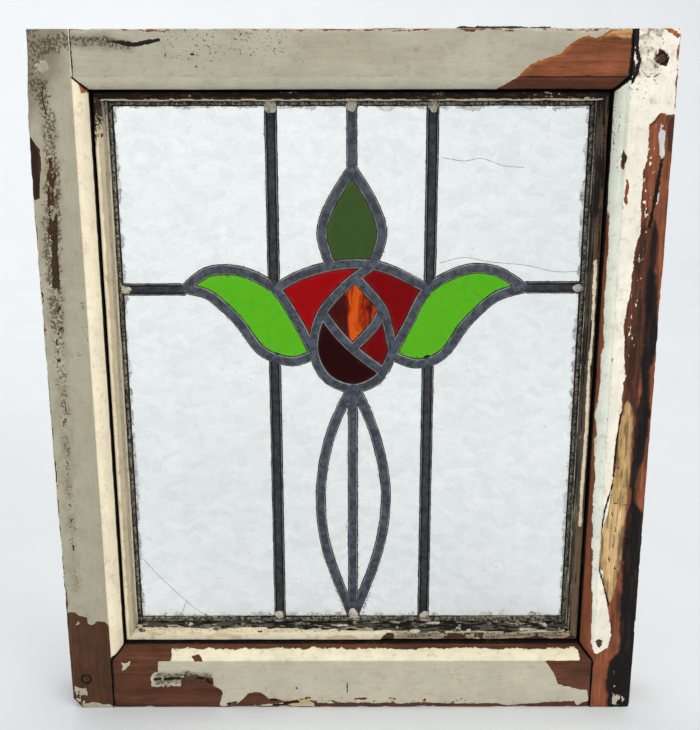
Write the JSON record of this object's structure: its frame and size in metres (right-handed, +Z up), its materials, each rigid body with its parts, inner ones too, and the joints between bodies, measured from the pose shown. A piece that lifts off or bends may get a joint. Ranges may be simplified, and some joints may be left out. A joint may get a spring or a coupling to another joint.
{
  "type": "stained glass window sash",
  "caption": "Rectangular timber sash with moulded edges and mitred beads, holding a leaded light of clear and coloured glass with a rose, bud and leaf design.",
  "frame": {"origin": "middle of the bottom edge of the sash", "axes": "+X to the right and +Z up when facing the moulded side, which faces -Y"},
  "size_m": [0.546, 0.06, 0.6348],
  "materials": {
    "painted_timber": "old greyish paint, worn through to brown timber",
    "painted_bead": "worn cream paint",
    "peg_wood": "dark end grain",
    "black_strip": "matt black, broken at both ends",
    "lead": "dull blue-grey lead, rounded by wear",
    "clear_glass": "clear, textured like crumpled foil",
    "dark_green_glass": "dark green",
    "bright_green_glass": "bright green",
    "red_glass": "deep red",
    "deep_red_glass": "darker red",
    "amber_glass": "amber streaked with dark red",
    "maroon_glass": "nearly black maroon",
    "dark_red_glass": "dark red"
  },
  "bodies": {
    "root": {"stile_left": "painted_timber", "stile_right": "painted_timber", "rail_top": "painted_timber", "rail_bottom": "painted_timber", "peg_top_left": "peg_wood", "peg_top_right": "peg_wood", "peg_bottom_left": "peg_wood", "peg_bottom_right": "peg_wood", "bead_left": "painted_bead", "bead_right": "painted_bead", "bead_top": "painted_bead", "bead_bottom": "painted_bead", "top_edge_strip": "black_strip", "came_border_left": "lead", "came_border_right": "lead", "came_border_top": "lead", "came_border_bottom": "lead", "came_leaf_left_upper": "lead", "came_leaf_right_upper": "lead", "came_rose_outline": "lead", "came_petal_arch": "lead", "came_rose_right": "lead", "came_rose_inner_long": "lead", "came_rose_inner_short": "lead", "came_leaf_left_lower": "lead", "came_leaf_right_lower": "lead", "came_cross_left": "lead", "came_cross_right": "lead", "came_top_left": "lead", "came_top_right": "lead", "came_low_left": "lead", "came_low_right": "lead", "came_bud_left": "lead", "came_bud_right": "lead", "came_top_middle": "lead", "came_stem_left": "lead", "came_stem_right": "lead", "came_low_middle": "lead", "pane_clear_top_left": "clear_glass", "pane_clear_top_inner_left": "clear_glass", "pane_clear_top_inner_right": "clear_glass", "pane_clear_top_right": "clear_glass", "pane_clear_low_left": "clear_glass", "pane_clear_low_inner_left": "clear_glass", "pane_clear_low_inner_right": "clear_glass", "pane_clear_low_right": "clear_glass", "pane_clear_stem_left": "clear_glass", "pane_clear_stem_right": "clear_glass", "pane_green_bud": "dark_green_glass", "pane_green_leaf_left": "bright_green_glass", "pane_green_leaf_right": "bright_green_glass", "pane_red_petal_left": "red_glass", "pane_red_petal_right": "deep_red_glass", "pane_amber_heart": "amber_glass", "pane_maroon_petal": "maroon_glass", "pane_red_rose": "dark_red_glass"}
  },
  "joints": []
}
